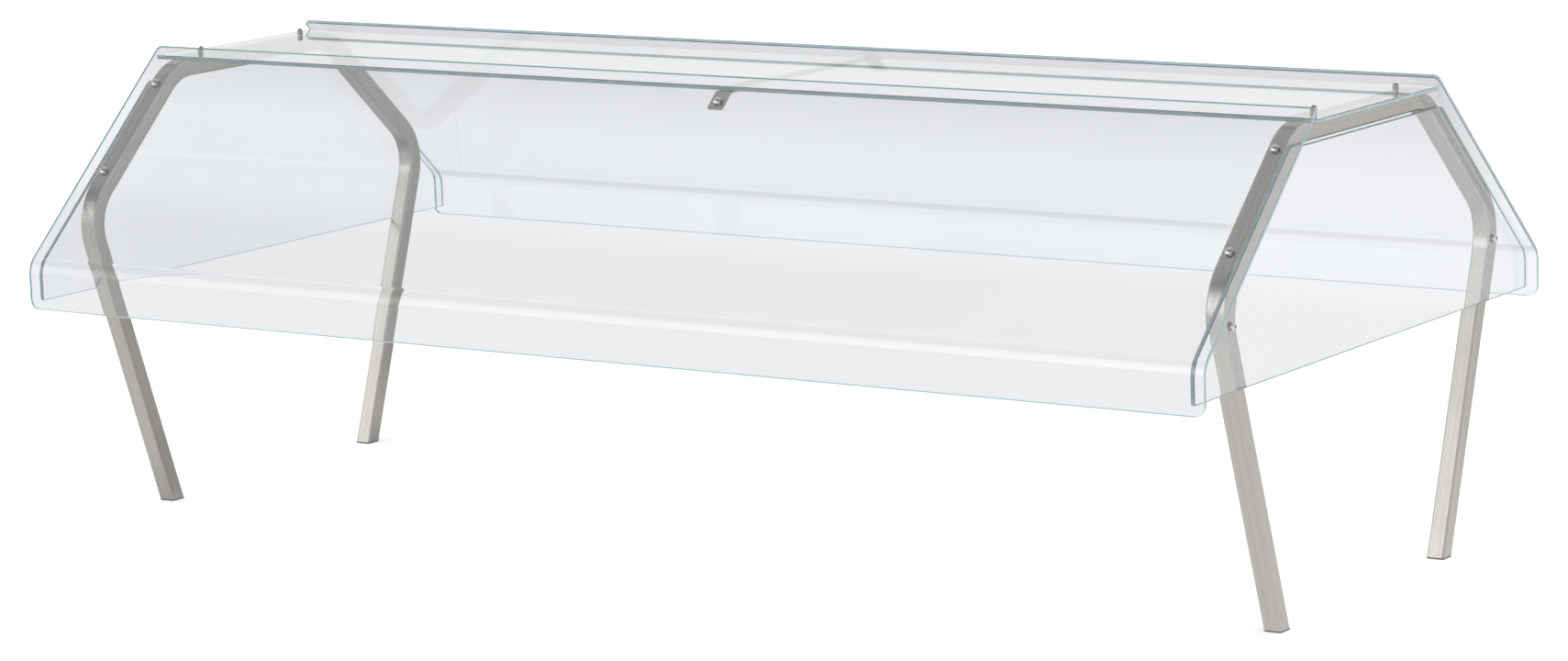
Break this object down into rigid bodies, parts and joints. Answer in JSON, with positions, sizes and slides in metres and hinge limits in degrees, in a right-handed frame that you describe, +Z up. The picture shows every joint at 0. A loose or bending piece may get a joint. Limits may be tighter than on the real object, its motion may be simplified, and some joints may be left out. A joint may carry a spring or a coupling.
{
  "type": "sneeze guard",
  "caption": "Free-standing double-sided buffet guard: bent stainless tube end frames carry clear sheets on both slopes, across the top and at both ends.",
  "frame": {"origin": "on the counter, in the middle of the guard's length and depth", "axes": "+X along the guard towards its right end, +Y from the front to the rear, +Z up"},
  "size_m": [1.93, 0.96, 0.672],
  "materials": {
    "tube": "brushed along the tube",
    "clear_sheet": "clear, polished, pale green at the edges",
    "strap": "brushed",
    "screw": "polished stainless",
    "pin": "turned",
    "rivet_nut": "plain",
    "plug": "moulded"
  },
  "bodies": {
    "root": {"left_frame": "tube", "right_frame": "tube", "front_panel": "clear_sheet", "rear_panel": "clear_sheet", "top_panel": "clear_sheet", "left_end_panel": "clear_sheet", "right_end_panel": "clear_sheet", "centre_strap": "strap", "foot_plug_front_left": "plug", "foot_plug_rear_left": "plug", "foot_plug_front_right": "plug", "foot_plug_rear_right": "plug", "slope_screw_front_left_upper": "screw", "slope_nut_front_left_upper": "rivet_nut", "slope_screw_front_left_lower": "screw", "slope_nut_front_left_lower": "rivet_nut", "end_screw_front_left": "screw", "end_nut_front_left": "rivet_nut", "locating_pin_front_left": "pin", "slope_screw_front_right_upper": "screw", "slope_nut_front_right_upper": "rivet_nut", "slope_screw_front_right_lower": "screw", "slope_nut_front_right_lower": "rivet_nut", "end_screw_front_right": "screw", "end_nut_front_right": "rivet_nut", "locating_pin_front_right": "pin", "strap_screw_front": "screw", "strap_nut_front": "screw", "slope_screw_rear_left_upper": "screw", "slope_nut_rear_left_upper": "rivet_nut", "slope_screw_rear_left_lower": "screw", "slope_nut_rear_left_lower": "rivet_nut", "end_screw_rear_left": "screw", "end_nut_rear_left": "rivet_nut", "locating_pin_rear_left": "pin", "slope_screw_rear_right_upper": "screw", "slope_nut_rear_right_upper": "rivet_nut", "slope_screw_rear_right_lower": "screw", "slope_nut_rear_right_lower": "rivet_nut", "end_screw_rear_right": "screw", "end_nut_rear_right": "rivet_nut", "locating_pin_rear_right": "pin", "strap_screw_rear": "screw", "strap_nut_rear": "screw"}
  },
  "joints": []
}
